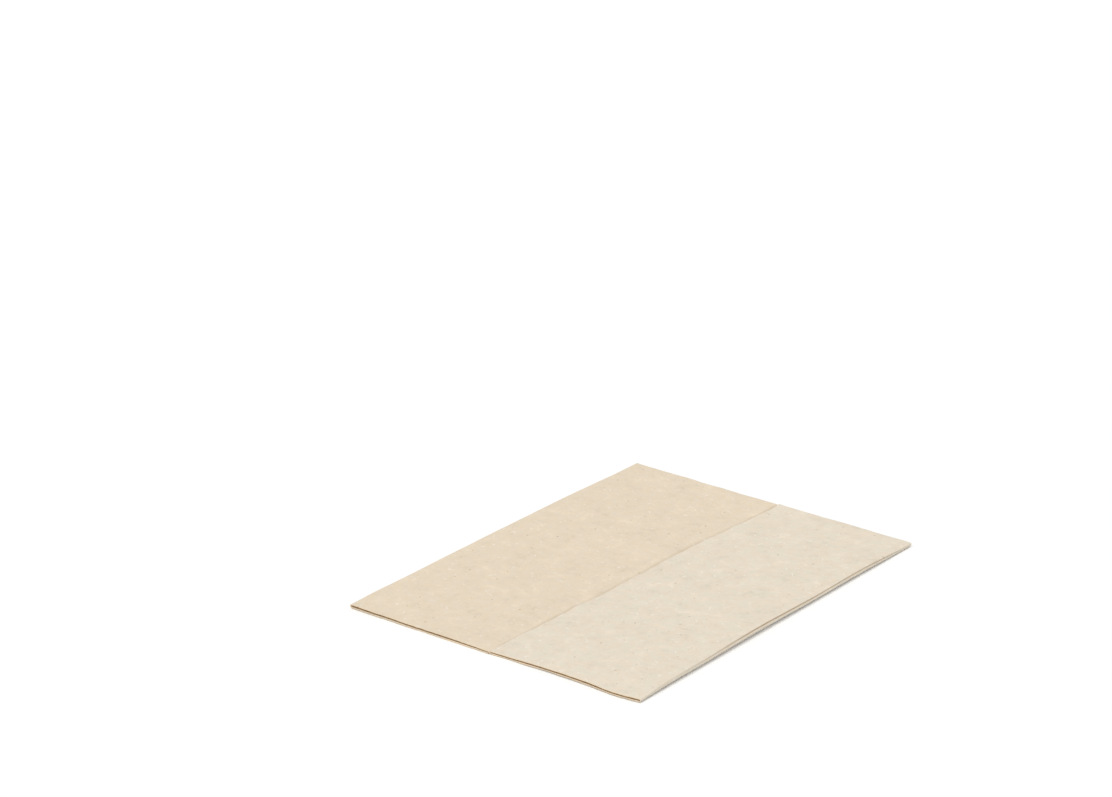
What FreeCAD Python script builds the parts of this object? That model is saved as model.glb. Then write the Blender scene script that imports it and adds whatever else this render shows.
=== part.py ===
"""One folded paper napkin of the dispenser kind, lying as it comes to rest.

A single sheet of soft two-ply tissue, 165.1 x 250.2 mm, is folded twice, so that its section is a
flat Z: a bottom flap under the left half, a main panel across the whole width, and a top flap over
the right half. Both flaps reach the middle, where the panel steps down from one to the other. The
folds are not creased hard: each is a loose round loop, pinched at the cut sides and swollen between
them. The top flap's cut edge draws away from the middle and lifts towards the far cut side.
X runs across the folds, from the left one to the right one, Y along them, and Z up, in millimetres.
The origin is the bottom centre.
"""

import FreeCAD, Part
import math
import os
import Sketcher

# Driving sizes in millimetres: the name, the value and what it measures
SIZES = [
    ("cut_length", 165.1, "the sheet along the folds, from one cut side to the other"),
    ("folded_width", 125.1, "the folded napkin from the left fold to the right fold"),
    ("sheet_thickness", 0.3, "both plies of soft tissue together"),
    ("layer_gap", 0.2, "air between the two layers at the middle"),
    ("step_width", 1.6, "run over which the panel steps down at the middle"),
    ("bottom_edge_gap", 0.9, "from the middle to the bottom flap's cut edge"),
    ("near_edge_gap", 0.6, "from the middle to the top flap's cut edge at the near cut side"),
    ("far_edge_gap", 3.6, "from the middle to the top flap's cut edge at the far cut side"),
    ("left_loop", 0.8, "hollow inside the left fold at the two cut sides"),
    ("left_swell", 1.2, "how much more the left fold opens at its widest"),
    ("right_loop", 0.8, "hollow inside the right fold at the two cut sides"),
    ("right_swell", 2.0, "how much more the right fold opens at its widest"),
    ("fold_run", 4.0, "from each fold's outer edge to where the sheet starts to turn into it"),
    ("near_edge_lift", 0.05, "lift of the top flap's cut edge at the near cut side"),
    ("far_edge_lift", 0.4, "lift of the top flap's cut edge at the far cut side"),
]

# Stretches that the length is divided into, with a section at each end of each
STRETCHES = 8

# How each fold swells along its length. A lean under 1 moves the widest place towards the near cut
# side and one over 1 away from it, and a low fullness keeps the fold wide nearly to its ends
LEFT_LEAN = 1.3
LEFT_FULLNESS = 2.0
RIGHT_LEAN = 0.7
RIGHT_FULLNESS = 0.8

# Share of the length at which the top flap's cut edge starts to draw away from the middle
EDGE_OPENS_AT = 0.55

# The numbers by which a sketch knows the points of a line or an arc, and its own axes
START, END, CENTRE = 1, 2, 3
AXES = -1

# Where each stretch of one side of the sheet is joined to the next, from flap to flap
JOINS = (
    ("bottom_flap", END, "left_run", START),
    ("left_run", END, "left_fold", END),
    ("left_fold", START, "high_panel", START),
    ("high_panel", END, "shoulder", END),
    ("shoulder", START, "foot", START),
    ("foot", END, "low_panel", START),
    ("low_panel", END, "right_run", START),
    ("right_run", END, "right_fold", START),
    ("right_fold", END, "top_flap", START),
)
BENDS = ("left_fold", "shoulder", "foot", "right_fold")


def add_sizes(doc):
    """The spreadsheet of driving sizes, one alias a row."""
    sizes = doc.addObject("Spreadsheet::Sheet", "sizes")
    for row, (alias, value, meaning) in enumerate(SIZES, start=1):
        sizes.set(f"A{row}", alias)
        sizes.set(f"B{row}", str(value))
        sizes.set(f"C{row}", meaning)
        sizes.setAlias(f"B{row}", alias)
    doc.recompute()
    return sizes


def swell_at(share, lean, fullness):
    """A fold's swell, from 0 at the cut sides to 1 at its widest."""
    return round(max(0, math.sin(math.pi * share**lean)) ** fullness, 4)


def add_section_sketch(body, share):
    """An empty sketch across the folds, at a share of the cut length from the near cut side."""
    plane = next(item for item in body.Origin.OriginFeatures if item.Role == "XZ_Plane")
    sketch = body.newObject("Sketcher::SketchObject", f"section_{round(1000 * share):04d}")
    sketch.AttachmentSupport = [(plane, "")]
    sketch.MapMode = "FlatFace"
    sketch.setExpression("AttachmentOffset.Base.z", f"sizes.cut_length * {0.5 - share}")
    return sketch


def line(start, end):
    return Part.LineSegment(FreeCAD.Vector(*start, 0), FreeCAD.Vector(*end, 0))


def arc(centre, radius, from_degrees, to_degrees):
    circle = Part.Circle(FreeCAD.Vector(*centre, 0), FreeCAD.Vector(0, 0, 1), radius)
    return Part.ArcOfCircle(circle, math.radians(from_degrees), math.radians(to_degrees))


def top_of(centre, radius):
    return centre[0], centre[1] + radius


def bottom_of(centre, radius):
    return centre[0], centre[1] - radius


def constrain(sketch, *parts):
    return sketch.addConstraint(Sketcher.Constraint(*parts))


def bind(sketch, name, expression, *parts):
    """A dimension that takes its value from the driving sizes."""
    sketch.renameConstraint(constrain(sketch, *parts), name)
    sketch.setExpression(f"Constraints.{name}", expression)


def bind_radius(sketch, arc_number, name, expression):
    bind(sketch, name, expression, "Radius", arc_number, sketch.Geometry[arc_number].Radius)


def bind_place(sketch, kind, number, point, name, expression):
    """A point's distance from the middle (DistanceX) or above the table (DistanceY)."""
    place = sketch.getPoint(number, point)
    value = place.x if kind == "DistanceX" else place.y
    ends = (AXES, START, number, point) if value > 0 else (number, point, AXES, START)
    bind(sketch, name, expression, kind, *ends, abs(value))


def draw_side(sketch, centres, radii, flap_ends, turn_start, step_turn):
    """One side of the sheet from flap to flap: six lines and four arcs, each tangent to the next."""
    left, shoulder, foot, right = zip(centres, radii)
    left_turn = (-turn_start, bottom_of(*left)[1])
    right_turn = (turn_start, bottom_of(*right)[1])
    shapes = {
        "bottom_flap": line(flap_ends[0], left_turn),
        "left_run": line(left_turn, bottom_of(*left)),
        "left_fold": arc(*left, 90, 270),
        "high_panel": line(top_of(*left), top_of(*shoulder)),
        "shoulder": arc(*shoulder, 90 - step_turn, 90),
        "foot": arc(*foot, 270 - step_turn, 270),
        "low_panel": line(bottom_of(*foot), right_turn),
        "right_run": line(right_turn, bottom_of(*right)),
        "right_fold": arc(*right, -90, 90),
        "top_flap": line(top_of(*right), flap_ends[1]),
    }
    side = {name: sketch.addGeometry(shape, False) for name, shape in shapes.items()}
    for first, first_point, second, second_point in JOINS:
        constrain(sketch, "Tangent", side[first], first_point, side[second], second_point)
    return side


def draw_cut_edge(sketch, side_a, side_b, flap, point):
    """The cut edge of a flap, from one side of the sheet to the other."""
    ends = [sketch.getPoint(side[flap], point) for side in (side_a, side_b)]
    edge = sketch.addGeometry(Part.LineSegment(*ends), False)
    constrain(sketch, "Coincident", edge, START, side_a[flap], point)
    constrain(sketch, "Coincident", edge, END, side_b[flap], point)
    return edge


def draw_section(sketch, sizes, left_swell, right_swell, top_edge):
    """The section's first drawing, close enough for its constraints to pull true."""
    sheet = sizes.sheet_thickness
    left = (sizes.left_loop + sizes.left_swell * left_swell) / 2
    right = (sizes.right_loop + sizes.right_swell * right_swell) / 2
    drop = sheet + sizes.layer_gap
    bend = (sizes.step_width**2 + drop**2) / (4 * drop)
    step_turn = math.degrees(math.asin(sizes.step_width / 2 / bend))
    centres = (
        (sheet + left - sizes.folded_width / 2, sheet + left),
        (-sizes.step_width / 2, drop + sheet / 2 - bend),
        (sizes.step_width / 2, sheet / 2 + bend),
        (sizes.folded_width / 2 - sheet - right, sheet + right),
    )
    side_a_radii = (left + sheet, bend + sheet / 2, bend - sheet / 2, right)
    side_b_radii = (left, bend - sheet / 2, bend + sheet / 2, right + sheet)
    turn_start = sizes.folded_width / 2 - sizes.fold_run
    sides = []
    for radii, height in ((side_a_radii, 0), (side_b_radii, sheet)):
        flap_ends = ((-sizes.bottom_edge_gap, height), (top_edge, drop + height))
        sides.append(draw_side(sketch, centres, radii, flap_ends, turn_start, step_turn))
    return sides


def add_section(body, sizes, share):
    """The sheet's section at one share of its length, fully constrained by the driving sizes.

    Side A lies outside the left fold and inside the right one, and side B the other way round.
    """
    left_swell = swell_at(share, LEFT_LEAN, LEFT_FULLNESS)
    right_swell = swell_at(share, RIGHT_LEAN, RIGHT_FULLNESS)
    opened = round(max(0, (share - EDGE_OPENS_AT) / (1 - EDGE_OPENS_AT)), 4)
    top_edge_place = sizes.near_edge_gap + (sizes.far_edge_gap - sizes.near_edge_gap) * opened
    sketch = add_section_sketch(body, share)
    side_a, side_b = draw_section(sketch, sizes, left_swell, right_swell, top_edge_place)
    bottom_edge = draw_cut_edge(sketch, side_a, side_b, "bottom_flap", START)
    top_edge = draw_cut_edge(sketch, side_a, side_b, "top_flap", END)

    # Both sides turn about the same centres, and the napkin lies flat on its bottom flap
    for bend in BENDS:
        constrain(sketch, "Coincident", side_a[bend], CENTRE, side_b[bend], CENTRE)
    constrain(sketch, "PointOnObject", side_a["bottom_flap"], START, AXES)
    constrain(sketch, "Horizontal", side_a["bottom_flap"])
    constrain(sketch, "Horizontal", side_b["bottom_flap"])
    constrain(sketch, "Horizontal", side_a["low_panel"])
    constrain(sketch, "Vertical", bottom_edge)
    constrain(sketch, "Parallel", side_a["top_flap"], side_b["top_flap"])
    constrain(sketch, "Perpendicular", top_edge, side_a["top_flap"])

    # The folds
    left = f"(sizes.left_loop + sizes.left_swell * {left_swell}) / 2"
    right = f"(sizes.right_loop + sizes.right_swell * {right_swell}) / 2"
    bind_radius(sketch, side_b["left_fold"], "left_inside", left)
    bind_radius(sketch, side_a["left_fold"], "left_outside", f"{left} + sizes.sheet_thickness")
    bind_radius(sketch, side_a["right_fold"], "right_inside", right)
    bind_radius(sketch, side_b["right_fold"], "right_outside", f"{right} + sizes.sheet_thickness")
    to_fold = "sizes.folded_width / 2 - sizes.sheet_thickness - "
    bind_place(sketch, "DistanceX", side_a["left_fold"], CENTRE, "left_centre", to_fold + left)
    bind_place(sketch, "DistanceX", side_a["right_fold"], CENTRE, "right_centre", to_fold + right)
    to_turn = "sizes.folded_width / 2 - sizes.fold_run"
    for name, side in (("a", side_a), ("b", side_b)):
        bind_place(sketch, "DistanceX", side["left_run"], START, f"left_turn_{name}", to_turn)
        bind_place(sketch, "DistanceX", side["right_run"], START, f"right_turn_{name}", to_turn)

    # The step in the middle
    drop = "(sizes.sheet_thickness + sizes.layer_gap)"
    bend = f"(sizes.step_width ^ 2 + {drop} ^ 2) / (4 * {drop})"
    wide = f"{bend} + sizes.sheet_thickness / 2"
    tight = f"{bend} - sizes.sheet_thickness / 2"
    bind_radius(sketch, side_a["shoulder"], "shoulder_top", wide)
    bind_radius(sketch, side_b["shoulder"], "shoulder_under", tight)
    bind_radius(sketch, side_a["foot"], "foot_top", tight)
    bind_place(sketch, "DistanceX", side_a["shoulder"], CENTRE, "shoulder_centre", "sizes.step_width / 2")
    bind_place(sketch, "DistanceX", side_a["foot"], CENTRE, "foot_centre", "sizes.step_width / 2")
    bind_place(sketch, "DistanceY", side_a["low_panel"], START, "low_panel_top", "sizes.sheet_thickness")

    # The flaps' cut edges
    lift = f"sizes.near_edge_lift * {1 - share} + sizes.far_edge_lift * {share}"
    bind_place(sketch, "DistanceX", bottom_edge, START, "bottom_edge", "sizes.bottom_edge_gap")
    gap = f"sizes.near_edge_gap + (sizes.far_edge_gap - sizes.near_edge_gap) * {opened}"
    bind_place(sketch, "DistanceX", top_edge, START, "top_edge", gap)
    bind_place(sketch, "DistanceY", top_edge, START, "top_edge_height", f"{drop} + {lift}")
    return sketch


def add_napkin(doc, sizes):
    """The napkin's body: one loft, straight from each section to the next."""
    body = doc.addObject("PartDesign::Body", "napkin")
    body.Label = "napkin"
    sections = [add_section(body, sizes, place / STRETCHES) for place in range(STRETCHES + 1)]
    doc.recompute()
    loose = [sketch.Name for sketch in sections if not sketch.FullyConstrained]
    if loose:
        raise RuntimeError(f"sections not fully constrained: {loose}")
    loft = body.newObject("PartDesign::AdditiveLoft", "folded_sheet")
    loft.Profile = sections[0]
    loft.Sections = sections[1:]
    loft.Ruled = True
    body.Tip = loft
    return body


def check(doc, body):
    """Stops the script before it writes anything if an object of the model has failed."""
    for item in doc.Objects:
        if "Invalid" in item.State or "Error" in item.State:
            raise RuntimeError(f"{item.Name} failed: {item.State}")
    if body.Shape.isNull() or not body.Shape.isValid() or len(body.Shape.Solids) != 1:
        raise RuntimeError(f"{body.Label} is not one valid solid")


def main():
    doc = FreeCAD.newDocument("folded_napkin")
    napkin = add_napkin(doc, add_sizes(doc))
    doc.recompute()
    check(doc, napkin)
    os.makedirs("parts", exist_ok=True)
    napkin.Shape.exportStep(f"parts/{napkin.Label}.step")
    box = napkin.Shape.optimalBoundingBox(False)
    size = f"{box.XLength:.2f} x {box.YLength:.2f} x {box.ZLength:.2f} mm"
    print(f"{napkin.Label}: {size}, {napkin.Shape.Volume / 1000:.3f} cm3")


main()
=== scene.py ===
"""A folded paper napkin lying on a white table: soft unbleached tissue, Z-folded.

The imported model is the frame. Its one solid, napkin, is replaced by a finely modelled sheet that
follows the same fold path: bottom flap, left fold, high panel, step, low panel, right fold and top
flap. Lengths are in metres. X runs across the folds, Y along them and Z up.
"""

import math

import bpy
import numpy as np
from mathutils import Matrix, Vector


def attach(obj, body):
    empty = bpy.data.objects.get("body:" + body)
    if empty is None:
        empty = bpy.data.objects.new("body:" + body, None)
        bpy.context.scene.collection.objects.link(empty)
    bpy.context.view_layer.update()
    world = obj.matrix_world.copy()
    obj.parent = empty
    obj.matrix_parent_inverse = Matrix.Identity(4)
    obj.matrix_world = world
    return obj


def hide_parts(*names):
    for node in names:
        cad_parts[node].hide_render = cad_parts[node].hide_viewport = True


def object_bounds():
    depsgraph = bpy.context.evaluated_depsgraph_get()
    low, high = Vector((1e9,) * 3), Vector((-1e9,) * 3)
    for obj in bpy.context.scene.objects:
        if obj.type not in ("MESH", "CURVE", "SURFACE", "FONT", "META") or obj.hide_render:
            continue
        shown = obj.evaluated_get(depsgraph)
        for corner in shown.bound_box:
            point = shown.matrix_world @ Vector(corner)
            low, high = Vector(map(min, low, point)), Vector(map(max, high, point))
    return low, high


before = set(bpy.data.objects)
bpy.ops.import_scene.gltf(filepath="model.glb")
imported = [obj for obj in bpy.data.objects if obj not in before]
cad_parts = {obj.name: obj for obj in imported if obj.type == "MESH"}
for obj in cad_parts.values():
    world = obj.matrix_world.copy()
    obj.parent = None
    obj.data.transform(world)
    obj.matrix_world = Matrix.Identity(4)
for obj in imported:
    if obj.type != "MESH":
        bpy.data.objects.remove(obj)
cad_low, cad_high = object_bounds()

MM = 0.001

# The folded napkin's outline, taken from the frame
WIDTH = cad_high.x - cad_low.x
LENGTH = cad_high.y - cad_low.y

# The sheet and its folds
SHEET = 0.3 * MM
LAYER_GAP = 0.2 * MM
DROP = SHEET + LAYER_GAP
FOLD_LOOP = 0.5 * MM

# What changes along the folds is given in rows: a share of the length from the near side, and there
# the size in millimetres or the strength. It is blended over this share of the length to each side,
# as the mean of this many samples
BLEND_REACH = 0.04
BLEND_SAMPLES = 9

# How far each fold stands up between the cut sides, and how much of that is the fold opening: the
# rest is the whole fold arching up off the table, over this run
LEFT_RISE = (
    (0, 0.15), (0.06, 0.75), (0.12, 0.9), (0.25, 0.9), (0.35, 0.85), (0.45, 0.95),
    (0.62, 1.15), (0.75, 0.95), (0.85, 0.6), (0.92, 0.4), (1, 0),
)
LEFT_OPENING = 0.4
RIGHT_RISE = (
    (0, 0.2), (0.05, 1.2), (0.12, 1.65), (0.22, 1.5), (0.32, 1.95), (0.42, 2.05),
    (0.52, 1.7), (0.62, 1.5), (0.72, 1.65), (0.82, 1.65), (0.92, 0.85), (1, 0.25),
)
RIGHT_OPENING = 0.5
ARCH_RUN = 45 * MM

# The crease along the right fold, just under the top face: its depth, place and half width, the share
# of the sheet's thickness that is pressed out of it, and how much of it shows along the fold, in its depth
# and in the shade painted into it
CREASE_DEPTH = 0.45 * MM
CREASE_BELOW_TOP = 0.52 * MM
CREASE_HALF_WIDTH = 0.26 * MM
CREASE_PRESSED = 0.6
CREASE_STRENGTH = (
    (0, 0.12), (0.14, 0.18), (0.4, 0.95), (0.52, 0.9), (0.64, 0.74), (0.9, 0.7), (1, 0),
)

# The top flap's cut edge: where it starts, how far it wanders along the middle and then draws away
# from it, between which shares of the length, and how far it lifts above the high panel's level
EDGE_START = -0.55 * MM
EDGE_WANDER = 1.6 * MM
EDGE_WANDER_SHARES = (-0.1, 0.5)
EDGE_DRAW = 3.3 * MM
EDGE_DRAW_SHARES = (0.62, 1.05)
EDGE_LIFT = 0.26 * MM

# The step under that edge, from the high panel to the low one: how wide it is, how far its foot
# reaches in under the flap, how shaded it is, and after what share of the drop the shade is full
STEP_WIDTH = ((0, 0.9), (0.06, 2.6), (0.3, 3.6), (1, 4.2))
STEP_UNDER_EDGE = ((0, 0.25), (0.08, 0.8), (0.85, 0.9), (0.97, 2.0), (1, 2.0))
STEP_SHADE = ((0, 0.19), (0.88, 0.17), (0.96, 0.4), (1, 0.4))
STEP_SHADE_RUN = 0.35

# The clear space between the bottom flap's cut edge and the step. At both ends there is none, and
# the flap reaches in under the step
BOTTOM_EDGE_CLEARANCE = ((0, -0.45), (0.05, 0.15), (0.93, 0.15), (1, -2.2))

# The cut sides: how far the lower layer lifts, how high the upper one stands at the near side's left
# and right ends and at the far side, how much of the way there it parts, and how far in both fade
LOWER_EDGE_LIFT = 0.04 * MM
LOWER_LIFT_DEPTH = 7 * MM
LEFT_EDGE_HEIGHT = 1.22 * MM
RIGHT_EDGE_HEIGHT = 0.9 * MM
FAR_EDGE_HEIGHT = 1.35 * MM
EDGE_OPENING = 0.85
EDGE_OPENING_DEPTH = 14 * MM

# How far in from the cut sides the painted shade between the layers comes on in full
INSIDE_SHADE_DEPTH = 1.4 * MM

# Where the near cut side bows: its place along X, its half width, how far out, and how far up the
# upper layer goes
NEAR_BOWS = (
    (0 * MM, 10 * MM, 0.2 * MM, -0.15 * MM),
    (26 * MM, 11 * MM, 0.0 * MM, 0.22 * MM),
    (52 * MM, 12 * MM, 0.9 * MM, -0.25 * MM),
)

# Where the lower layer bows up off the table along that side: its place, its half width, how far up
NEAR_LOWER_BOW = (27 * MM, 13 * MM, 0.36 * MM)

# How far the cut sides stand out along each fold and each flap's edge, because the sheet was folded
# slightly askew
LEFT_REACH = 0.75 * MM
RIGHT_REACH = -0.55 * MM
BOTTOM_FLAP_SHIFT = -0.3 * MM
TOP_FLAP_SHIFT = 0.1 * MM

# How unevenly the sheet is cut: waves of how far, wavelength and seed, and how far in they fade. The
# cut sides' waves also say how far off in the wave each side is taken, so that the two differ
CUT_SIDE_WAVES = ((0.1 * MM, 14 * MM, 11, 7), (0.04 * MM, 2.5 * MM, 12, 3))
CUT_SIDE_WAVE_DEPTH = 2 * MM
FLAP_EDGE_WAVES = ((0.16 * MM, 26 * MM, 13), (0.16 * MM, 9 * MM, 15), (0.06 * MM, 4 * MM, 14))
FLAP_EDGE_WAVE_DEPTH = 2 * MM

# How unevenly each layer lies: its rise on average, slow waves of how far, wavelength and seed, and
# the lowest that they may take it
LOWER_RISE = 0.05 * MM
LOWER_WAVES = ((0.05 * MM, 55 * MM, 21), (0.008 * MM, 9 * MM, 22))
LOWER_LOWEST = 0.0
UPPER_RISE = 0.08 * MM
UPPER_WAVES = ((0.08 * MM, 60 * MM, 23), (0.03 * MM, 22 * MM, 24), (0.012 * MM, 8 * MM, 25))
UPPER_LOWEST = -0.1 * MM

# How the top flap's cut edge curls up and down: its wave, how far in that fades, and the lowest that
# it may go
EDGE_CURL_WAVES = ((0.12 * MM, 16 * MM, 26),)
EDGE_CURL_DEPTH = 3 * MM
EDGE_CURL_LOWEST = -0.05 * MM

# Each wave is the sum of this many, with wavelengths drawn between these shares of its own
WAVE_COUNT = 9
WAVELENGTH_SHARES = (0.7, 1.6)

# Mesh points along each flat half panel, round each fold, round each bend of the step and along Y,
# how much the points of a panel crowd to its ends, and the millimetres from a cut side to its rows
HALF_PANEL_POINTS = 74
FOLD_POINTS = 31
STEP_POINTS = 7
LENGTH_ROWS = 90
PANEL_CROWDING = 0.25
CUT_SIDE_ROWS = (0.0, 0.12, 0.3, 0.6, 1.0, 1.5, 2.0)

# A cut edge's profile: two plies, rounded, with a groove between them. Each row is the share of the
# way from the middle of the sheet up to face A, and how far the edge stands out there
EDGE_PROFILE = ((0.75, 0.07 * MM), (0.45, 0.1 * MM), (0, 0.03 * MM), (-0.45, 0.1 * MM), (-0.75, 0.07 * MM))

# How far apart the materials take the two faces to be, so that their clouds and felt differ
FACES_APART = 0.1

# The table lies this far under the napkin, so that their surfaces never coincide, and reaches this
# far to each side
TABLE_CLEARANCE = 0.02 * MM
TABLE_HALF_WIDTH = 4.0

# The camera, placed where the photograph was taken from, with angles in degrees
CAMERA_PLACE = (0.68439, -0.92800, 0.50689)
CAMERA_AZIMUTH = 37.845
CAMERA_PITCH = 20.859
LENS_MM = 114.68
SENSOR_MM = 36

# The light: a soft cool fill from all round and one wide warm lamp overhead, with angles in degrees
FILL_COLOUR = (0.97, 0.985, 1.0, 1)
FILL_STRENGTH = 0.53
LAMP_COLOUR = (1.0, 0.99, 0.97)
LAMP_STRENGTH = 1.65
LAMP_AZIMUTH = 20
LAMP_ELEVATION = 62
LAMP_SPREAD = 50


# The shape of the folded sheet


def waves(x, y, wavelength, seed):
    """A smooth random surface, about -1 to 1: a sum of seeded sine waves near one wavelength."""
    draw = np.random.default_rng(seed)
    heading = draw.uniform(0, 2 * np.pi, WAVE_COUNT)
    number = 2 * np.pi / (wavelength * draw.uniform(*WAVELENGTH_SHARES, WAVE_COUNT))
    phase = draw.uniform(0, 2 * np.pi, WAVE_COUNT)
    total = np.zeros(np.broadcast(x, y).shape)
    for angle, turns, start in zip(heading, number, phase):
        total += np.sin(turns * (x * np.cos(angle) + y * np.sin(angle)) + start)
    return total / math.sqrt(WAVE_COUNT)


def summed_waves(x, y, rows):
    """The sum of several waves, each given as how far, wavelength and seed."""
    return sum(how_far * waves(x, y, wavelength, seed) for how_far, wavelength, seed in rows)


def ease(value, low, high):
    """0 below low, 1 above high, with a smooth rise between."""
    share = np.clip((value - low) / (high - low), 0, 1)
    return share * share * (3 - 2 * share)


def bell(distance, half_width):
    """1 at no distance, about a third at the half width, and 0 well beyond it."""
    return np.exp(-((distance / half_width) ** 2))


def strength_at(share, rows):
    """What the rows of (share, value) give at a share of the length, blended."""
    places, values = zip(*rows)
    nearby = share + np.linspace(-BLEND_REACH, BLEND_REACH, BLEND_SAMPLES)
    return np.interp(nearby, places, values).mean()


def size_at(share, rows):
    """The size in metres that rows of (share, millimetres) give at a share of the length, blended."""
    return strength_at(share, rows) * MM


def arc_points(centre, radius, from_angle, to_angle, count):
    """Points round an arc, first and last included."""
    angle = np.linspace(from_angle, to_angle, count)
    return np.stack([centre[0] + radius * np.cos(angle), centre[1] + radius * np.sin(angle)], 1)


def panel_points(start, end):
    """Points along a half panel, between its ends, closer together near both."""
    even = np.linspace(0, 1, HALF_PANEL_POINTS + 2)[1:-1, None]
    crowded = (1 - np.cos(np.pi * even)) / 2
    share = (1 - PANEL_CROWDING) * even + PANEL_CROWDING * crowded
    return np.asarray(start) * (1 - share) + np.asarray(end) * share


def arched(points, level, fold_end):
    """A lower half panel: flat on the table, then rising to the end of its fold."""
    distance = np.abs(points[:, 0] - fold_end[0])
    rise = 1 - ease(distance, 0, ARCH_RUN)
    return np.stack([points[:, 0], level + (fold_end[1] - level) * rise], 1)


def on_layer(points, layer, crease=0.0):
    """The points with their layer, and their crease or painted shade, beside them."""
    count = len(points)
    return np.column_stack([points, np.broadcast_to(layer, count), np.broadcast_to(crease, count)])


def fold_path(share):
    """The sheet's mid-plane across the folds, at a share of the length from the near cut side.

    It runs from the bottom flap's cut edge to the top flap's, as points (x, height, layer, crease).
    The layer is 0 on the lower layer, 1 on the upper one, and between the two round the folds and
    The crease is how far the point is in the right fold's crease, or in the step's
    shade: 0 is not at all and 1 is fully. Both darken the sheet's colour as painted shade.
    """
    left_rise = size_at(share, LEFT_RISE)
    right_rise = size_at(share, RIGHT_RISE)
    left = (FOLD_LOOP + LEFT_OPENING * left_rise + SHEET) / 2
    right = (FOLD_LOOP + RIGHT_OPENING * right_rise + SHEET) / 2
    level = SHEET / 2
    left_low = level + (1 - LEFT_OPENING) * left_rise
    right_low = level + (1 - RIGHT_OPENING) * right_rise
    wander = EDGE_WANDER * ease(share, *EDGE_WANDER_SHARES)
    edge_place = EDGE_START + wander + EDGE_DRAW * ease(share, *EDGE_DRAW_SHARES)

    step_width = size_at(share, STEP_WIDTH)
    step_end = edge_place + size_at(share, STEP_UNDER_EDGE)
    step_start = step_end - step_width
    bend = (step_width**2 + DROP**2) / (4 * DROP)
    turn = math.asin(step_width / 2 / bend)

    left_centre = (SHEET / 2 + left - WIDTH / 2, left_low + left)
    right_centre = (WIDTH / 2 - SHEET / 2 - right, right_low + right)
    shoulder = (step_start, level + DROP - bend)
    foot = (step_end, level + bend)
    up, down = math.pi / 2, -math.pi / 2

    bottom_edge = np.array([step_start - size_at(share, BOTTOM_EDGE_CLEARANCE), level])
    left_fold = arc_points(left_centre, left, 3 * up, up, FOLD_POINTS)
    step_down = arc_points(shoulder, bend, up, up - turn, STEP_POINTS)
    step_out = arc_points(foot, bend, down - turn, down, STEP_POINTS)[1:]
    right_fold = arc_points(right_centre, right, down, up, FOLD_POINTS)
    top_edge = np.array([edge_place, level + DROP + EDGE_LIFT])

    bottom_flap = arched(panel_points(bottom_edge, left_fold[0]), level, left_fold[0])
    low_panel = arched(panel_points(step_out[-1], right_fold[0]), level, right_fold[0])
    high_panel = panel_points(left_fold[-1], step_down[0])
    top_flap = panel_points(right_fold[-1], top_edge)

    step = np.concatenate([step_down, step_out])
    step_layer = (step[:, 1] - level) / DROP
    step_shade = strength_at(share, STEP_SHADE) * ease(1 - step_layer, 0, STEP_SHADE_RUN)
    below_top = right_fold[-1, 1] - right_fold[:, 1]
    crease_and_shade = strength_at(share, CREASE_STRENGTH) * bell(below_top - CREASE_BELOW_TOP, CREASE_HALF_WIDTH)
    right_fold_layer = (right_fold[:, 1] - right_low) / (2 * right)
    right_fold[:, 0] -= CREASE_DEPTH * crease_and_shade
    return np.concatenate([
        on_layer(bottom_edge[None], 0),
        on_layer(bottom_flap, 0),
        on_layer(left_fold, (left_fold[:, 1] - left_low) / (2 * left)),
        on_layer(high_panel, 1),
        on_layer(step, step_layer, step_shade),
        on_layer(low_panel, 0),
        on_layer(right_fold, right_fold_layer, crease_and_shade),
        on_layer(top_flap, 1),
        on_layer(top_edge[None], 1),
    ])


def row_shares():
    """Shares of the length at which the mesh has a row, closer together near the cut sides."""
    near = np.array(CUT_SIDE_ROWS) * MM / LENGTH
    inner = np.linspace(near[-1], 1 - near[-1], LENGTH_ROWS)[1:-1]
    return np.concatenate([near, inner, 1 - near[::-1]])


def path_lengths(points):
    """Distance along each row of points from its start."""
    steps = np.linalg.norm(np.diff(points, axis=1), axis=2)
    return np.concatenate([np.zeros((len(points), 1)), np.cumsum(steps, 1)], 1)


def unevenly_cut(x, along, flat_y):
    """The points' x and y, once the sheet is folded askew and its sides and flap edges are uneven."""
    reach = (RIGHT_REACH + LEFT_REACH) / 2 + (RIGHT_REACH - LEFT_REACH) * x / WIDTH
    widths_from_middle = (along - along[:, -1:] / 2) / WIDTH
    flap_shifts = [BOTTOM_FLAP_SHIFT, 0, 0, TOP_FLAP_SHIFT]
    askew = np.interp(widths_from_middle, [-1, -0.5, 0.5, 1], flap_shifts)
    uneven = sum(
        how_far * waves(along, np.sign(flat_y) * apart, wavelength, seed)
        for how_far, wavelength, seed, apart in CUT_SIDE_WAVES
    )
    at_cut_side = np.exp(-(LENGTH / 2 - np.abs(flat_y)) / CUT_SIDE_WAVE_DEPTH)
    y = flat_y + reach * flat_y / (LENGTH / 2) + askew + uneven * at_cut_side

    to_flap_edge = np.minimum(along, along[:, -1:] - along)
    at_flap_edge = np.exp(-to_flap_edge / FLAP_EDGE_WAVE_DEPTH)
    return x + at_flap_edge * summed_waves(flat_y, 0, FLAP_EDGE_WAVES), y


def lower_layer_rise(x, y, flat_y):
    """How far the whole sheet rises: slow waves, and its cut sides lift."""
    lifted = LOWER_EDGE_LIFT * bell(LENGTH / 2 - np.abs(flat_y), LOWER_LIFT_DEPTH)
    return np.clip(LOWER_RISE + summed_waves(x, y, LOWER_WAVES), LOWER_LOWEST, None) + lifted


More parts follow.
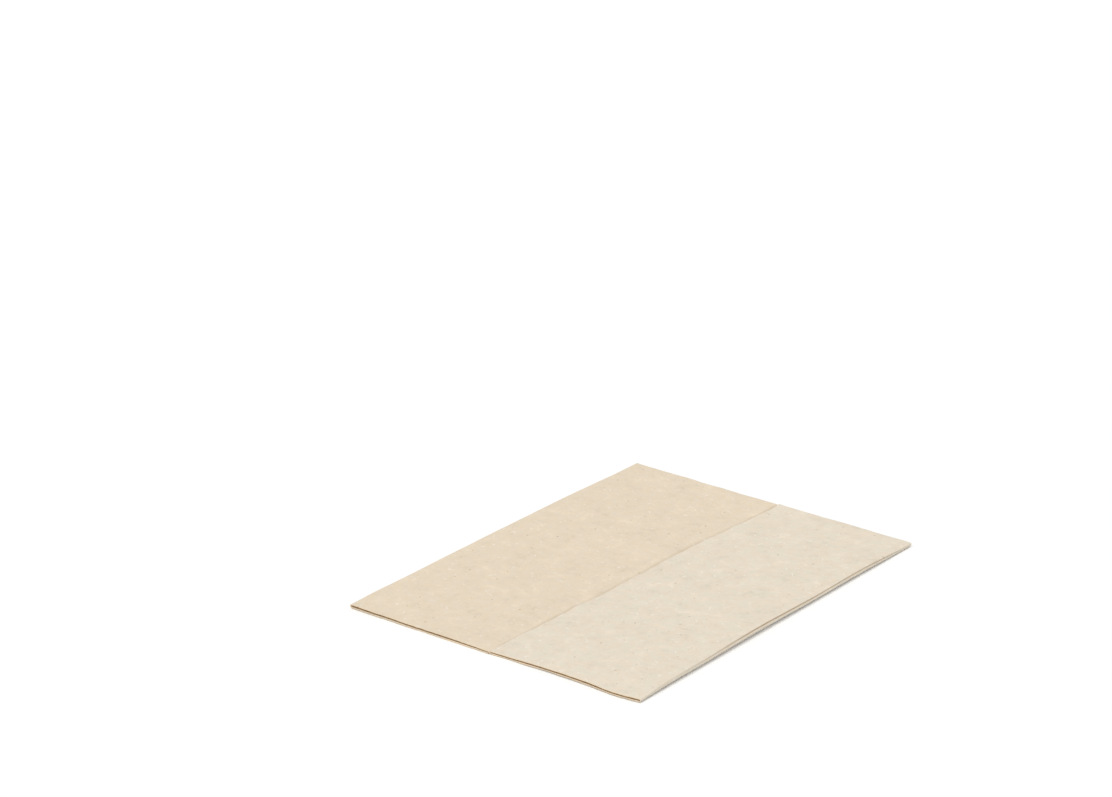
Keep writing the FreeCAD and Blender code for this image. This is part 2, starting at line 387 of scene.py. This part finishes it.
def upper_layer_rise(x, y, z, along, flat_y):
    """How far the upper layer rises beyond that: slow waves, parted cut sides and a curled edge."""
    slow = np.clip(UPPER_RISE + summed_waves(x, y, UPPER_WAVES), UPPER_LOWEST, None)
    middle_height = (LEFT_EDGE_HEIGHT + RIGHT_EDGE_HEIGHT) / 2
    near_height = middle_height + (RIGHT_EDGE_HEIGHT - LEFT_EDGE_HEIGHT) * x / WIDTH
    height = np.where(flat_y < 0, near_height, FAR_EDGE_HEIGHT)
    opening = EDGE_OPENING * bell(LENGTH / 2 - np.abs(flat_y), EDGE_OPENING_DEPTH)
    at_top_edge = np.exp(-(along[:, -1:] - along) / EDGE_CURL_DEPTH)
    curl = np.clip(at_top_edge * summed_waves(flat_y, 0, EDGE_CURL_WAVES), EDGE_CURL_LOWEST, None)
    return slow + opening * np.clip(height - z, 0, None) + curl


def near_side_bows(x, flat_y):
    """How far the near cut side bows out, its upper layer up, and its lower layer up."""
    near = np.exp(-(flat_y + LENGTH / 2) / EDGE_OPENING_DEPTH)
    bows = [(near * bell(x - place, half_width), out, up) for place, half_width, out, up in NEAR_BOWS]
    place, half_width, lower_up = NEAR_LOWER_BOW
    return (
        sum(out * bow for bow, out, up in bows),
        sum(up * bow for bow, out, up in bows),
        lower_up * near * bell(x - place, half_width),
    )


def sheet_surface():
    """The sheet's mid-plane as a grid of points, each one's place on the flat sheet, and the crease with
    its painted shade.
    """
    shares = row_shares()
    path = np.stack([fold_path(share) for share in shares])
    x, z, layer, crease = np.moveaxis(path, -1, 0)
    along = path_lengths(path[..., :2])
    flat_y = np.repeat(((shares - 0.5) * LENGTH)[:, None], x.shape[1], 1)

    x, y = unevenly_cut(x, along, flat_y)
    bow_out, upper_bow, lower_bow = near_side_bows(x, flat_y)
    lower_rise = lower_layer_rise(x, y, flat_y) + lower_bow * (1 - layer)
    upper_rise = upper_layer_rise(x, y, z, along, flat_y) + upper_bow
    z = z + lower_rise + upper_rise * layer
    return np.stack([x, y - bow_out, z], -1), np.stack([along, flat_y], -1), crease


def unit(vectors):
    """The vectors at a length of 1."""
    return vectors / np.linalg.norm(vectors, axis=-1, keepdims=True)


def border(grid):
    """A grid's outermost entries, once round."""
    return np.concatenate([grid[0, :-1], grid[:-1, -1], grid[-1, :0:-1], grid[:0:-1, 0]])


def skin_points(surface, crease):
    """Points of the sheet's skin: face A, then face B, then the rings round the cut edge."""
    along = unit(np.gradient(surface, axis=1))
    across = unit(np.gradient(surface, axis=0))
    half = (SHEET / 2 * (1 - CREASE_PRESSED * crease))[..., None]
    to_face_a = unit(np.cross(along, across)) * half

    outward = np.zeros_like(surface)
    outward[:, 0] -= along[:, 0]
    outward[:, -1] += along[:, -1]
    outward[0] -= across[0]
    outward[-1] += across[-1]
    rim, rim_up, rim_out = border(surface), border(to_face_a), unit(border(outward))
    rings = [rim + rim_up * up + rim_out * out for up, out in EDGE_PROFILE]

    face_a = (surface + to_face_a).reshape(-1, 3)
    face_b = (surface - to_face_a).reshape(-1, 3)
    points = np.concatenate([face_a, face_b, *rings])
    points[:, 2] -= points[:, 2].min()
    return points


def skin_quads(rows, columns):
    """The skin's faces, by the numbers of their points, and which finish each of them has."""
    count = rows * columns
    numbers = np.arange(count).reshape(rows, columns)
    corner, right = numbers[:-1, :-1].ravel(), numbers[:-1, 1:].ravel()
    above, opposite = numbers[1:, :-1].ravel(), numbers[1:, 1:].ravel()
    quads_a = np.stack([corner, right, opposite, above], 1)
    quads_b = np.stack([corner, above, opposite, right], 1) + count

    rim = border(numbers)
    rings = 2 * count + np.arange(len(EDGE_PROFILE) * len(rim)).reshape(-1, len(rim))
    loops = [rim, *rings, rim + count]
    quads_edge = [
        np.stack([upper, lower, np.roll(lower, -1), np.roll(upper, -1)], 1)
        for upper, lower in zip(loops, loops[1:])
    ]
    parts = (quads_a, quads_b, np.concatenate(quads_edge))
    return np.concatenate(parts), np.repeat([0, 1, 2], [len(part) for part in parts])


def on_skin(face_a, face_b, edge):
    """Values for all the skin's points, in their order, from a grid for each face and the edge."""
    faces = [grid.reshape(-1, *grid.shape[2:]) for grid in (face_a, face_b)]
    return np.concatenate(faces + [border(edge)] * len(EDGE_PROFILE)).astype(np.float32)


def sheet_mesh(name):
    """The closed mesh of the folded sheet: face A, face B and the cut edge round them."""
    surface, flat, crease = sheet_surface()
    rows, columns = crease.shape
    points = skin_points(surface, crease)
    quads, finish = skin_quads(rows, columns)
    mesh = bpy.data.meshes.new(name)
    mesh.from_pydata(points.tolist(), [], quads.tolist())
    mesh.polygons.foreach_set("material_index", finish)
    mesh.polygons.foreach_set("use_smooth", np.ones(len(quads), bool))

    # Each point's place on the flat sheet, with the two faces apart, for the materials
    flat_a = np.pad(flat, ((0, 0), (0, 0), (0, 1)))
    flat_b = flat_a + (0, 0, FACES_APART)
    attribute = mesh.attributes.new("sheet_place", "FLOAT_VECTOR", "POINT")
    attribute.data.foreach_set("vector", on_skin(flat_a, flat_b, flat_a).ravel())

    # How creased it is there, or how shaded on the step, which sets the shade painted into the colour, and
    # how deep it lies between the layers, which sets the painted shade there. Face A does so beyond the
    # step, where the low panel and the top flap meet, and face B before it, where the other two do
    depth = ease(LENGTH / 2 - np.abs(flat[..., 1]), 0, INSIDE_SHADE_DEPTH)
    from_step = np.arange(columns) - columns // 2
    inside_shade_a = depth * (from_step > STEP_POINTS)
    inside_shade_b = depth * (from_step < -STEP_POINTS)
    crease_and_shade = on_skin(crease, crease, crease)
    inside_shade = on_skin(inside_shade_a, inside_shade_b, np.zeros_like(depth))
    for label, values in (("painted_crease_and_step_shade", crease_and_shade), ("painted_shade_between_layers", inside_shade)):
        attribute = mesh.attributes.new(label, "FLOAT", "POINT")
        attribute.data.foreach_set("value", values)
    mesh.validate()
    mesh.update()
    return mesh


# The finishes of the tissue and the table


def linear(red, green, blue):
    """A colour given as 0-255 screen values, as the shader needs it, by the screen's own curve."""
    values = [c / 255 for c in (red, green, blue)]
    return [c / 12.92 if c <= 0.04045 else ((c + 0.055) / 1.055) ** 2.4 for c in values] + [1]


# Colours of the tissue and what lies in it, as they show under plain light
FACE_A_COLOUR = linear(232, 216, 193)
FACE_B_COLOUR = linear(233, 221, 202)
CUT_EDGE_COLOUR = linear(237, 214, 180)
FIBRE_COLOUR = linear(255, 251, 242)
BROWN_COLOUR = linear(150, 118, 80)

BLACK = (0, 0, 0, 1)
WHITE = (1, 1, 1, 1)

# The table's own colour, and how much it glows where it is seen, so that it shows as white
TABLE_COLOUR = (0.92, 0.92, 0.92, 1)
TABLE_ROUGHNESS = 0.9
TABLE_GLOW = 0.12

# Painted shade: what is left of the sheet's colour in a shallow crease, in a deep one and between the
# layers, where light only gets in by way of other paper, and how much of a crease the painted crease shade
# covers
SHALLOW_CREASE_SHADE_TINT = (0.48, 0.5, 0.48)
DEEP_CREASE_SHADE_TINT = (0.56, 0.33, 0.12)
INSIDE_SHADE_TINT = (0.87, 0.61, 0.31)
CREASE_SHADE_COVER = 0.8

# Where the sheet is a little warmer or cooler: the two tints, the noise's size and its offset, and
# the noise's values between which one turns into the other
WARM_TINT = (1.008, 0.995, 0.979)
COOL_TINT = (0.992, 1.004, 1.019)
TONE_NOISE = (3.5 * MM, (0.7, 0.3, 0.0))
TONE_RANGE = (0.3, 0.7)

# Where its fibres lie thin or thick: the two tints, and the clouds' sizes and weights
THIN_TINT = (0.9, 0.9, 0.895)
THICK_TINT = (1.1, 1.1, 1.105)
CLOUDS = ((11 * MM, 0.85), (4 * MM, 0.9), (1.4 * MM, 0.6))
NOISE_MIDDLE = 0.5

# The felt of fine fibres: the size of each layer's noise, how far each layer is shifted from the one
# before, how wide a line is in the noise's values, how much of it is solid, and how many fibres lying
# over each other count as full
FELT_SIZES = (1.1 * MM, 0.8 * MM, 1.6 * MM, 0.6 * MM)
FELT_SHIFT = (0.37, 0.21, 0.5)
FELT_LINE_SHARE = 0.03
FELT_LINE_CORE = 0.2
FELT_FULL = 2.0

# Flecks, in rows: how many cells a metre their pattern has, their half length, half width and bend,
# the share of the cells that hold one, and a seed. A share that is None follows the patches below
FLECK_VALUES = ("Per Metre", "Half Length", "Half Width", "Bend", "Share", "Seed")
FAINT_FIBRES = ((300, 1.3 * MM, 0.2 * MM, 150, 0.7, 0.0), (380, 1.0 * MM, 0.18 * MM, 200, 0.6, 3.3))
BRIGHT_FIBRES = ((170, 1.4 * MM, 0.26 * MM, 100, None, 5.2), (150, 0.8 * MM, 0.4 * MM, 60, 0.2, 7.9))
BROWN_FIBRES = ((190, 1.2 * MM, 0.15 * MM, 150, 0.25, 6.1),)
SPECKS = ((140, 0.45 * MM, 0.36 * MM, 0, None, 9.7), (300, 0.25 * MM, 0.22 * MM, 0, 0.1, 12.4))

# Each fleck has at least the shortest share of its kind's length, and up to the spread more. The
# cells are this irregular, and this share of a fleck is solid, inside a soft rim
SHORTEST_FLECK = 0.4
FLECK_SPREAD = 0.8
CELL_RANDOMNESS = 0.8
FLECK_CORE = 0.2

# Patches: the noise's size and its offset, and between these values of it the bright fibres go from
# few to many and the specks from many to few
PATCH_NOISE = (9 * MM, (0.2, 0.9, 0.0))
PATCH_LOW = 0.35
PATCH_HIGH = 0.65
BRIGHT_SHARES = (0.15, 0.6)
SPECK_SHARES = (0.02, 0.3)

# How strongly the felt, the faint, bright and brown fibres and the specks colour the sheet
FELT_STRENGTH = 0.035
FAINT_STRENGTH = 0.17
BRIGHT_STRENGTH = 0.44
BROWN_STRENGTH = 0.18
SPECK_STRENGTH = 0.48

# How much of the relief comes from the clouds, the felt and the fibres, how high it is, and how
# strongly it shows
CLOUD_RELIEF = 0.35
FELT_RELIEF = 0.15
FIBRE_RELIEF = 0.3
RELIEF_DEPTH = 0.05 * MM
RELIEF_STRENGTH = 0.5

# How the tissue shines: hardly, and a little more along its fibres
PAPER_ROUGHNESS = 0.95
FIBRE_ROUGHNESS = 0.85
PAPER_SPECULAR = 0.2


class Nodes:
    """Short calls for adding and joining the nodes of one material or node group, empty at first."""

    def __init__(self, tree):
        tree.nodes.clear()
        self.tree = tree

    def give(self, socket, value):
        """Set a socket to a plain value, or link it to another node's output."""
        if isinstance(value, bpy.types.NodeSocket):
            self.tree.links.new(value, socket)
        else:
            socket.default_value = value

    def add(self, kind, inputs=None, **settings):
        """A new node with its settings and inputs."""
        node = self.tree.nodes.new(kind)
        for name, value in settings.items():
            setattr(node, name, value)
        for key, value in (inputs or {}).items():
            self.give(node.inputs[key], value)
        return node

    def math(self, operation, *values, clamp=False):
        """One operation on numbers."""
        node = self.add("ShaderNodeMath", dict(enumerate(values)), operation=operation, use_clamp=clamp)
        return node.outputs[0]

    def vector(self, operation, *values):
        """One operation on vectors."""
        node = self.add("ShaderNodeVectorMath", dict(enumerate(values)), operation=operation)
        return node.outputs[0]

    def combine(self, operation, parts):
        """All the parts joined by one operation, such as their sum or the largest of them."""
        total, *others = parts
        for part in others:
            total = self.math(operation, total, part)
        return total

    def stored(self, label, output):
        """A value that is stored on the mesh's points."""
        return self.add("ShaderNodeAttribute", attribute_name=label).outputs[output]

    def ramp(self, value, low, high, from_value=0.0, to_value=1.0):
        """value between low and high, eased and stretched to from_value and to_value."""
        inputs = {"Value": value, "From Min": low, "From Max": high}
        inputs |= {"To Min": from_value, "To Max": to_value}
        return self.add("ShaderNodeMapRange", inputs, interpolation_type="SMOOTHSTEP").outputs["Result"]

    def noise(self, place, size, detail=2.0):
        """Smooth noise, about 0 to 1, with lumps of about a size."""
        inputs = {"Vector": place, "Scale": 1 / size, "Detail": detail}
        return self.add("ShaderNodeTexNoise", inputs).outputs["Fac"]

    def mix(self, share, low, high):
        """A colour between low and high."""
        node = self.add("ShaderNodeMix", data_type="RGBA")
        sockets = [s for s in node.inputs if s.enabled]
        for socket, value in zip(sockets, (share, low, high)):
            self.give(socket, value)
        return next(s for s in node.outputs if s.enabled)


def new_group(name, numbers, output):
    """An empty shader node group: a place and the named numbers go in, and one number comes out."""
    tree = bpy.data.node_groups.new(name, "ShaderNodeTree")
    tree.interface.new_socket("Place", in_out="INPUT", socket_type="NodeSocketVector")
    for label in numbers:
        tree.interface.new_socket(label, in_out="INPUT", socket_type="NodeSocketFloat")
    tree.interface.new_socket(output, in_out="OUTPUT", socket_type="NodeSocketFloat")
    nodes = Nodes(tree)
    return nodes, nodes.add("NodeGroupInput").outputs, nodes.add("NodeGroupOutput").inputs[output]


def scattered_flecks_group():
    """Short fibres or specks, one in some of the cells of a random pattern, each turned its own way."""
    nodes, given, mask = new_group("scattered flecks", FLECK_VALUES, "Mask")
    shift = nodes.add("ShaderNodeCombineXYZ", {"X": given["Seed"], "Y": given["Seed"]}).outputs[0]
    flat = nodes.vector("MULTIPLY", nodes.vector("ADD", given["Place"], shift), (1, 1, 0))
    cells = nodes.add(
        "ShaderNodeTexVoronoi",
        {"Vector": flat, "Scale": given["Per Metre"], "Randomness": CELL_RANDOMNESS},
        voronoi_dimensions="2D",
    ).outputs
    draw = nodes.add("ShaderNodeSeparateColor", {"Color": cells["Color"]}).outputs
    from_middle = nodes.vector("SUBTRACT", flat, cells["Position"])
    heading = nodes.math("MULTIPLY", draw["Red"], math.tau)
    turned = nodes.add(
        "ShaderNodeVectorRotate",
        {"Vector": from_middle, "Angle": heading},
        rotation_type="Z_AXIS",
    ).outputs[0]
    local = nodes.add("ShaderNodeSeparateXYZ", {"Vector": turned}).outputs
    size = nodes.math("ADD", nodes.math("MULTIPLY", draw["Blue"], FLECK_SPREAD), SHORTEST_FLECK)
    length = nodes.math("MULTIPLY", given["Half Length"], size)
    sag = nodes.math("MULTIPLY", nodes.math("POWER", local["X"], 2.0), given["Bend"])
    along = nodes.math("DIVIDE", local["X"], length)
    across = nodes.math("DIVIDE", nodes.math("ADD", local["Y"], sag), given["Half Width"])
    squares = nodes.math("ADD", nodes.math("POWER", along, 2.0), nodes.math("POWER", across, 2.0))
    shape = nodes.ramp(squares, 1.0, FLECK_CORE)
    chosen = nodes.math("LESS_THAN", draw["Green"], given["Share"])
    nodes.give(mask, nodes.math("MULTIPLY", shape, chosen))
    return nodes.tree


def felted_fibres_group():
    """A felt of fine long fibres: thin contour lines of smooth noise, several layers deep."""
    nodes, given, fibres = new_group("felted fibres", ["Line Share"], "Fibres")
    lines = []
    for layer, size in enumerate(FELT_SIZES):
        shifted = nodes.vector("ADD", given["Place"], [shift * layer for shift in FELT_SHIFT])
        value = nodes.noise(shifted, size, detail=0.0)
        distance = nodes.math("ABSOLUTE", nodes.math("SUBTRACT", value, NOISE_MIDDLE))
        lines.append(nodes.ramp(nodes.math("DIVIDE", distance, given["Line Share"]), 1.0, FELT_LINE_CORE))
    nodes.give(fibres, nodes.math("DIVIDE", nodes.combine("ADD", lines), FELT_FULL, clamp=True))
    return nodes.tree


def cloudy_formation_group():
    """How the fibres lie thick and thin over the sheet: soft clouds at three scales, about -1 to 1."""
    nodes, given, cloud = new_group("cloudy formation", [], "Cloud")
    parts = []
    for size, weight in CLOUDS:
        centred = nodes.math("SUBTRACT", nodes.noise(given["Place"], size), NOISE_MIDDLE)
        parts.append(nodes.math("MULTIPLY", centred, weight / NOISE_MIDDLE))
    nodes.give(cloud, nodes.combine("ADD", parts))
    return nodes.tree


def new_material(name):
    """A new material and its nodes, of which there are none yet."""
    material = bpy.data.materials.new(name)
    material.use_nodes = True
    return material, Nodes(material.node_tree)


def tissue_material(name, colour, flecks, fibres, clouds):
    """One face of the tissue, or its cut edge."""
    material, nodes = new_material(name)
    place = nodes.stored("sheet_place", "Vector")
    crease = nodes.stored("painted_crease_and_step_shade", "Fac")
    inside_shade = nodes.stored("painted_shade_between_layers", "Fac")

    def placed(group, values):
        """What a shared effect puts out here, with its own values."""
        return nodes.add("ShaderNodeGroup", {"Place": place, **values}, node_tree=group).outputs[0]

    def scattered(kinds, patchy_share=None):
        """The mask of all the kinds of fleck given."""
        masks = []
        for kind in kinds:
            values = dict(zip(FLECK_VALUES, kind))
            if values["Share"] is None:
                values["Share"] = patchy_share
            masks.append(placed(flecks, values))
        return nodes.combine("MAXIMUM", masks)

    def slow_noise(size, offset):
        """Noise over the sheet, from a part of the pattern that is this far off."""
        return nodes.noise(nodes.vector("ADD", place, offset), size, detail=1.0)

    def tint(shares):
        """The sheet's colour with shares of its red, green and blue."""
        return [c * share for c, share in zip(colour, shares)] + [1]

    patches = slow_noise(*PATCH_NOISE)
    cloud = placed(clouds, {})
    felt = placed(fibres, {"Line Share": FELT_LINE_SHARE})
    faint = scattered(FAINT_FIBRES)
    bright = scattered(BRIGHT_FIBRES, nodes.ramp(patches, PATCH_LOW, PATCH_HIGH, *BRIGHT_SHARES))
    brown = scattered(BROWN_FIBRES)
    specks = scattered(SPECKS, nodes.ramp(patches, PATCH_HIGH, PATCH_LOW, *SPECK_SHARES))

    cool = nodes.ramp(slow_noise(*TONE_NOISE), *TONE_RANGE)
    paper = nodes.mix(cool, tint(WARM_TINT), tint(COOL_TINT))
    paper = nodes.mix(nodes.ramp(cloud, 0.0, -1.0), paper, tint(THIN_TINT))
    paper = nodes.mix(nodes.ramp(cloud, 0.0, 1.0), paper, tint(THICK_TINT))
    in_the_sheet = (
        (felt, FELT_STRENGTH, FIBRE_COLOUR),
        (faint, FAINT_STRENGTH, FIBRE_COLOUR),
        (bright, BRIGHT_STRENGTH, FIBRE_COLOUR),
        (brown, BROWN_STRENGTH, BROWN_COLOUR),
        (specks, SPECK_STRENGTH, BROWN_COLOUR),
    )
    for mask, strength, its_colour in in_the_sheet:
        paper = nodes.mix(nodes.math("MULTIPLY", mask, strength), paper, its_colour)
    # Painted shade between the layers, darker and warmer where light only gets in by way of other paper
    paper = nodes.mix(inside_shade, paper, tint(INSIDE_SHADE_TINT))
    # Painted shade in the right fold's crease and on the step beside the top flap's edge
    painted_crease_shade_colour = nodes.mix(crease, tint(SHALLOW_CREASE_SHADE_TINT), tint(DEEP_CREASE_SHADE_TINT))
    paper = nodes.mix(nodes.math("MULTIPLY", crease, CREASE_SHADE_COVER), paper, painted_crease_shade_colour)

    relief = nodes.combine("ADD", [
        nodes.math("MULTIPLY", cloud, CLOUD_RELIEF),
        nodes.math("MULTIPLY", felt, FELT_RELIEF),
        nodes.math("MULTIPLY", nodes.math("ADD", faint, bright), FIBRE_RELIEF),
    ])
    bump = nodes.add(
        "ShaderNodeBump",
        {"Height": relief, "Distance": RELIEF_DEPTH, "Strength": RELIEF_STRENGTH},
    )
    shader = nodes.add(
        "ShaderNodeBsdfPrincipled",
        {
            "Base Color": paper,
            "Roughness": nodes.ramp(felt, 0.0, 1.0, PAPER_ROUGHNESS, FIBRE_ROUGHNESS),
            "Normal": bump.outputs["Normal"],
            "Specular IOR Level": PAPER_SPECULAR,
        },
    )
    nodes.add("ShaderNodeOutputMaterial", {"Surface": shader.outputs[0]}, is_active_output=True)
    return material


# The napkin, the table, the light and the camera


def new_object(name, data):
    """An object put in the scene."""
    item = bpy.data.objects.new(name, data)
    bpy.context.scene.collection.objects.link(item)
    return item


def make_napkin():
    """The folded sheet, with its finishes in the order that skin_quads numbers them in."""
    mesh = sheet_mesh("folded_napkin")
    napkin = new_object("folded_napkin", mesh)
    flecks, fibres, clouds = scattered_flecks_group(), felted_fibres_group(), cloudy_formation_group()
    finishes = (
        ("tissue face A", FACE_A_COLOUR),
        ("tissue face B", FACE_B_COLOUR),
        ("tissue cut edge", CUT_EDGE_COLOUR),
    )
    for name, colour in finishes:
        mesh.materials.append(tissue_material(name, colour, flecks, fibres, clouds))
    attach(napkin, "root")
    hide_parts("napkin")


def seen_as_backdrop(nodes):
    """1 for what the camera sees, directly, in a gloss or through glass, and 0 for other light."""
    rays = nodes.add("ShaderNodeLightPath").outputs
    kinds = ("Is Camera Ray", "Is Glossy Ray", "Is Transmission Ray")
    return nodes.combine("MAXIMUM", [rays[kind] for kind in kinds])


def table_material():
    """White, so that the table shows as white where it is lit and keeps the napkin's shadow."""
    material, nodes = new_material("white table")
    shader = nodes.add(
        "ShaderNodeBsdfPrincipled",
        {
            "Base Color": TABLE_COLOUR,
            "Roughness": TABLE_ROUGHNESS,
            "Specular IOR Level": 0.0,
            "Emission Color": nodes.mix(seen_as_backdrop(nodes), BLACK, WHITE),
            "Emission Strength": TABLE_GLOW,
        },
    )
    nodes.add("ShaderNodeOutputMaterial", {"Surface": shader.outputs[0]}, is_active_output=True)
    return material


def make_table():
    """The floor of the scene, just under the napkin."""
    half = TABLE_HALF_WIDTH
    outline = ((-half, -half), (half, -half), (half, half), (-half, half))
    corners = [(x, y, -TABLE_CLEARANCE) for x, y in outline]
    mesh = bpy.data.meshes.new("table")
    mesh.from_pydata(corners, [], [(0, 1, 2, 3)])
    mesh.materials.append(table_material())
    table = new_object("table", mesh)


def make_world():
    """Soft light from all round, from a world that shows as white."""
    world = bpy.data.worlds.new("studio")
    bpy.context.scene.world = world
    world.use_nodes = True
    nodes = Nodes(world.node_tree)
    fill = nodes.add("ShaderNodeBackground", {"Color": FILL_COLOUR, "Strength": FILL_STRENGTH})
    white = nodes.add("ShaderNodeBackground", {"Color": WHITE, "Strength": 1.0})
    shares = {0: seen_as_backdrop(nodes), 1: fill.outputs[0], 2: white.outputs[0]}
    both = nodes.add("ShaderNodeMixShader", shares)
    nodes.add("ShaderNodeOutputWorld", {"Surface": both.outputs[0]})


def make_lamp():
    """A sun so wide that its shadows are soft."""
    light = bpy.data.lights.new("overhead_lamp", "SUN")
    light.energy = LAMP_STRENGTH
    light.angle = math.radians(LAMP_SPREAD)
    light.color = LAMP_COLOUR
    lamp = new_object("overhead_lamp", light)
    lamp.rotation_euler = (math.radians(90 - LAMP_ELEVATION), 0, math.radians(LAMP_AZIMUTH))


def make_camera():
    """The camera at the photograph's viewing angle."""
    lens = bpy.data.cameras.new("camera")
    lens.lens = LENS_MM
    lens.sensor_width = SENSOR_MM
    camera = new_object("camera", lens)
    camera.location = CAMERA_PLACE
    camera.rotation_euler = (math.radians(90 - CAMERA_PITCH), 0, math.radians(CAMERA_AZIMUTH))
    bpy.context.scene.camera = camera


bpy.context.scene.view_settings.view_transform = "Standard"
make_camera()
make_world()
make_lamp()
make_table()
make_napkin()
